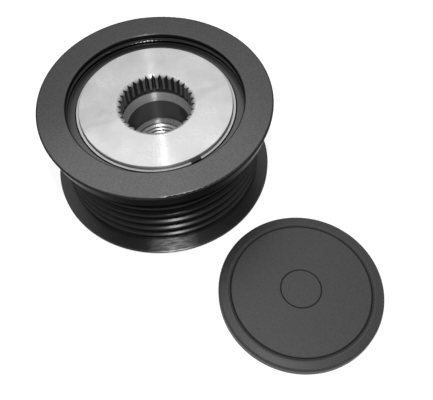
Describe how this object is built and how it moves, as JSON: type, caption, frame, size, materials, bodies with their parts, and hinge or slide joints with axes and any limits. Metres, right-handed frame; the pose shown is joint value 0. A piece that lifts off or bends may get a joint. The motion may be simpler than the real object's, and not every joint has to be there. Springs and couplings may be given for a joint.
{
  "type": "overrunning alternator pulley",
  "caption": "Overrunning alternator pulley: a black ribbed belt ring on a serrated steel hub, with needle bearings, a one-way roller clutch and seals inside, and its round dust cap beside it.",
  "frame": {"origin": "centre of the hub's rear face, where it seats against the alternator shaft's bearing ring", "axes": "+Z is the pulley axis towards the front, where the serrated drive and the cap side are; +X and +Y lie in the rear face, with the dust cap beside the pulley at +X and -Y, as it lies in the picture"},
  "size_m": [0.0836, 0.1015, 0.0295],
  "materials": {
    "ring_black": "gloss black coat over turned steel",
    "hub_steel": "fine turned steel, lightly phosphated",
    "race_steel": "ground bearing steel",
    "roller_steel": "polished bearing steel",
    "spring_steel": "rolled spring strip",
    "ring_steel": "bright spring wire",
    "shield_steel": "stamped steel sheet",
    "seal_rubber": "smooth moulded rubber",
    "cage_plastic": "moulded glass-filled nylon",
    "cap_plastic": "fine-grained moulded plastic"
  },
  "bodies": {
    "hub": {"hub": "hub_steel", "clutch_cage": "cage_plastic", "clutch_roller_01": "roller_steel", "clutch_roller_02": "roller_steel", "clutch_roller_03": "roller_steel", "clutch_roller_04": "roller_steel", "clutch_roller_05": "roller_steel", "clutch_roller_06": "roller_steel", "clutch_roller_07": "roller_steel", "clutch_roller_08": "roller_steel", "clutch_spring_01": "spring_steel", "clutch_spring_02": "spring_steel", "clutch_spring_03": "spring_steel", "clutch_spring_04": "spring_steel", "clutch_spring_05": "spring_steel", "clutch_spring_06": "spring_steel", "clutch_spring_07": "spring_steel", "clutch_spring_08": "spring_steel", "dust_cap": "cap_plastic"},
    "pulley": {"pulley_ring": "ring_black", "outer_race_sleeve": "race_steel", "retaining_ring": "ring_steel", "front_shield": "shield_steel", "front_seal": "seal_rubber", "rear_seal": "seal_rubber"},
    "front_cage": {"front_needle_cage": "cage_plastic", "front_needles": "roller_steel"},
    "rear_cage": {"rear_needle_cage": "cage_plastic", "rear_needles": "roller_steel"}
  },
  "joints": [
    {"name": "pulley_spin", "type": "hinge", "parent": "hub", "child": "pulley", "pos_m": [0, 0, 0.0151], "axis": [0, 0, 1], "continuous": true},
    {"name": "front_cage_spin", "type": "hinge", "parent": "hub", "child": "front_cage", "pos_m": [0, 0, 0.02], "axis": [0, 0, 1], "continuous": true},
    {"name": "rear_cage_spin", "type": "hinge", "parent": "hub", "child": "rear_cage", "pos_m": [0, 0, 0.0066], "axis": [0, 0, 1], "continuous": true}
  ],
  "couplings": [
    {"joint": "front_cage_spin", "follows": "pulley_spin", "ratio": 0.5441},
    {"joint": "rear_cage_spin", "follows": "pulley_spin", "ratio": 0.5441}
  ]
}
